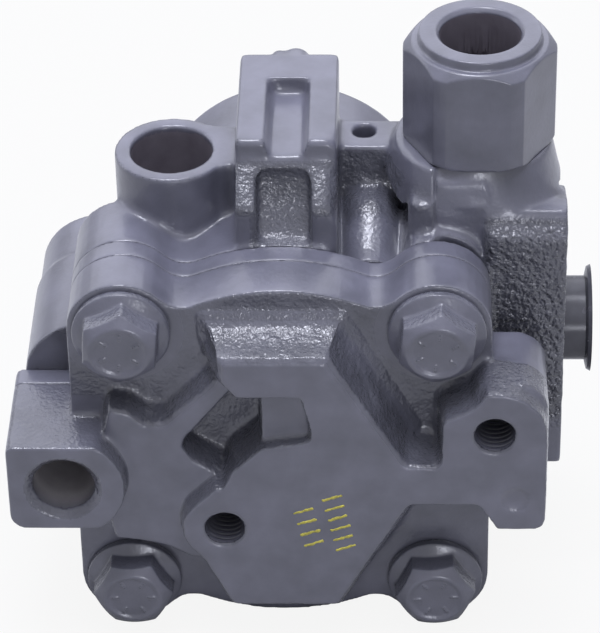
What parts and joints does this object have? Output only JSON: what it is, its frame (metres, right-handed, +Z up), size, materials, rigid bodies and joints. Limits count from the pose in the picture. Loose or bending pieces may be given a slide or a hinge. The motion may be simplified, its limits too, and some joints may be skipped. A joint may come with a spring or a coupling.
{
  "type": "power steering pump",
  "caption": "Vane pump for hydraulic power steering: cast body with suction and pressure ports, flow control valve, bolted rear cover with mounting ears, and a driven shaft in a ball bearing.",
  "frame": {"origin": "on the shaft axis, in the plane of the machined rear mounting faces of the cover", "axes": "+X to the right of the cover as seen from behind, +Y along the shaft to the drive end, +Z up to the ports"},
  "size_m": [0.1061, 0.1177, 0.1097],
  "materials": {
    "black_paint": "gloss black paint over rough cast metal",
    "bright_steel": "ground",
    "dark_steel": "hardened, dull",
    "bronze": "machined",
    "black_rubber": "matt",
    "black_plastic": "smooth moulded"
  },
  "bodies": {
    "housing": {"rear_cover": "black_paint", "middle_plate": "black_paint", "pump_body": "black_paint", "cover_bolts": "black_paint", "cover_seal": "black_rubber", "plate_seal": "black_rubber", "cam_ring": "bright_steel", "front_pressure_plate": "dark_steel", "pressure_plate_seal": "black_rubber", "disc_spring": "bright_steel", "dowel_pins": "bright_steel", "rear_bush": "bronze", "shaft_seal": "black_rubber", "bearing_outer_ring": "bright_steel", "bearing_snap_ring": "dark_steel", "outlet_union": "black_paint", "union_seal": "black_rubber", "flow_control_spring": "bright_steel", "port_plug": "black_plastic"},
    "shaft": {"drive_shaft": "bright_steel", "rotor": "bright_steel", "rotor_snap_ring": "dark_steel", "bearing_inner_ring": "bright_steel"},
    "ball_cage": {"bearing_cage": "bronze", "bearing_balls": "bright_steel"},
    "spool": {"flow_control_spool": "bright_steel", "relief_seat": "bronze", "relief_spring": "bright_steel"},
    "relief_ball_body": {"relief_ball": "dark_steel"},
    "vane_1_body": {"vane_1": "dark_steel"},
    "vane_2_body": {"vane_2": "dark_steel"},
    "vane_3_body": {"vane_3": "dark_steel"},
    "vane_4_body": {"vane_4": "dark_steel"},
    "vane_5_body": {"vane_5": "dark_steel"},
    "vane_6_body": {"vane_6": "dark_steel"},
    "vane_7_body": {"vane_7": "dark_steel"},
    "vane_8_body": {"vane_8": "dark_steel"},
    "vane_9_body": {"vane_9": "dark_steel"},
    "vane_10_body": {"vane_10": "dark_steel"}
  },
  "joints": [
    {"name": "shaft_spin", "type": "hinge", "parent": "housing", "child": "shaft", "pos_m": [0, 0.0595, 0], "axis": [0, 1, 0], "continuous": true},
    {"name": "ball_cage_spin", "type": "hinge", "parent": "housing", "child": "ball_cage", "pos_m": [0, 0.0848, 0], "axis": [0, 1, 0], "continuous": true},
    {"name": "spool_slide", "type": "slide", "parent": "housing", "child": "spool", "axis": [0, 0, -1], "range_m": [0, 0.004], "stiffness_N_per_m": 2500, "springref_m": -0.002, "deforming": ["flow_control_spring"]},
    {"name": "relief_ball_slide", "type": "slide", "parent": "spool", "child": "relief_ball_body", "axis": [0, 0, -1], "range_m": [0, 0.0008], "stiffness_N_per_m": 500, "springref_m": -0.001, "deforming": ["relief_spring"]},
    {"name": "vane_1_slide", "type": "slide", "parent": "shaft", "child": "vane_1_body", "axis": [0.9511, 0, 0.309], "range_m": [-0.0012, 0]},
    {"name": "vane_2_slide", "type": "slide", "parent": "shaft", "child": "vane_2_body", "axis": [0.5878, 0, 0.809], "range_m": [-0.0012, 0]},
    {"name": "vane_3_slide", "type": "slide", "parent": "shaft", "child": "vane_3_body", "axis": [0, 0, 1], "range_m": [-0.0012, 0]},
    {"name": "vane_4_slide", "type": "slide", "parent": "shaft", "child": "vane_4_body", "axis": [-0.5878, 0, 0.809], "range_m": [-0.0012, 0]},
    {"name": "vane_5_slide", "type": "slide", "parent": "shaft", "child": "vane_5_body", "axis": [-0.9511, 0, 0.309], "range_m": [-0.0012, 0]},
    {"name": "vane_6_slide", "type": "slide", "parent": "shaft", "child": "vane_6_body", "axis": [-0.9511, 0, -0.309], "range_m": [-0.0012, 0]},
    {"name": "vane_7_slide", "type": "slide", "parent": "shaft", "child": "vane_7_body", "axis": [-0.5878, 0, -0.809], "range_m": [-0.0012, 0]},
    {"name": "vane_8_slide", "type": "slide", "parent": "shaft", "child": "vane_8_body", "axis": [0, 0, -1], "range_m": [-0.0012, 0]},
    {"name": "vane_9_slide", "type": "slide", "parent": "shaft", "child": "vane_9_body", "axis": [0.5878, 0, -0.809], "range_m": [-0.0012, 0]},
    {"name": "vane_10_slide", "type": "slide", "parent": "shaft", "child": "vane_10_body", "axis": [0.9511, 0, -0.309], "range_m": [-0.0012, 0]}
  ],
  "couplings": [
    {"joint": "ball_cage_spin", "follows": "shaft_spin", "ratio": 0.38078}
  ]
}
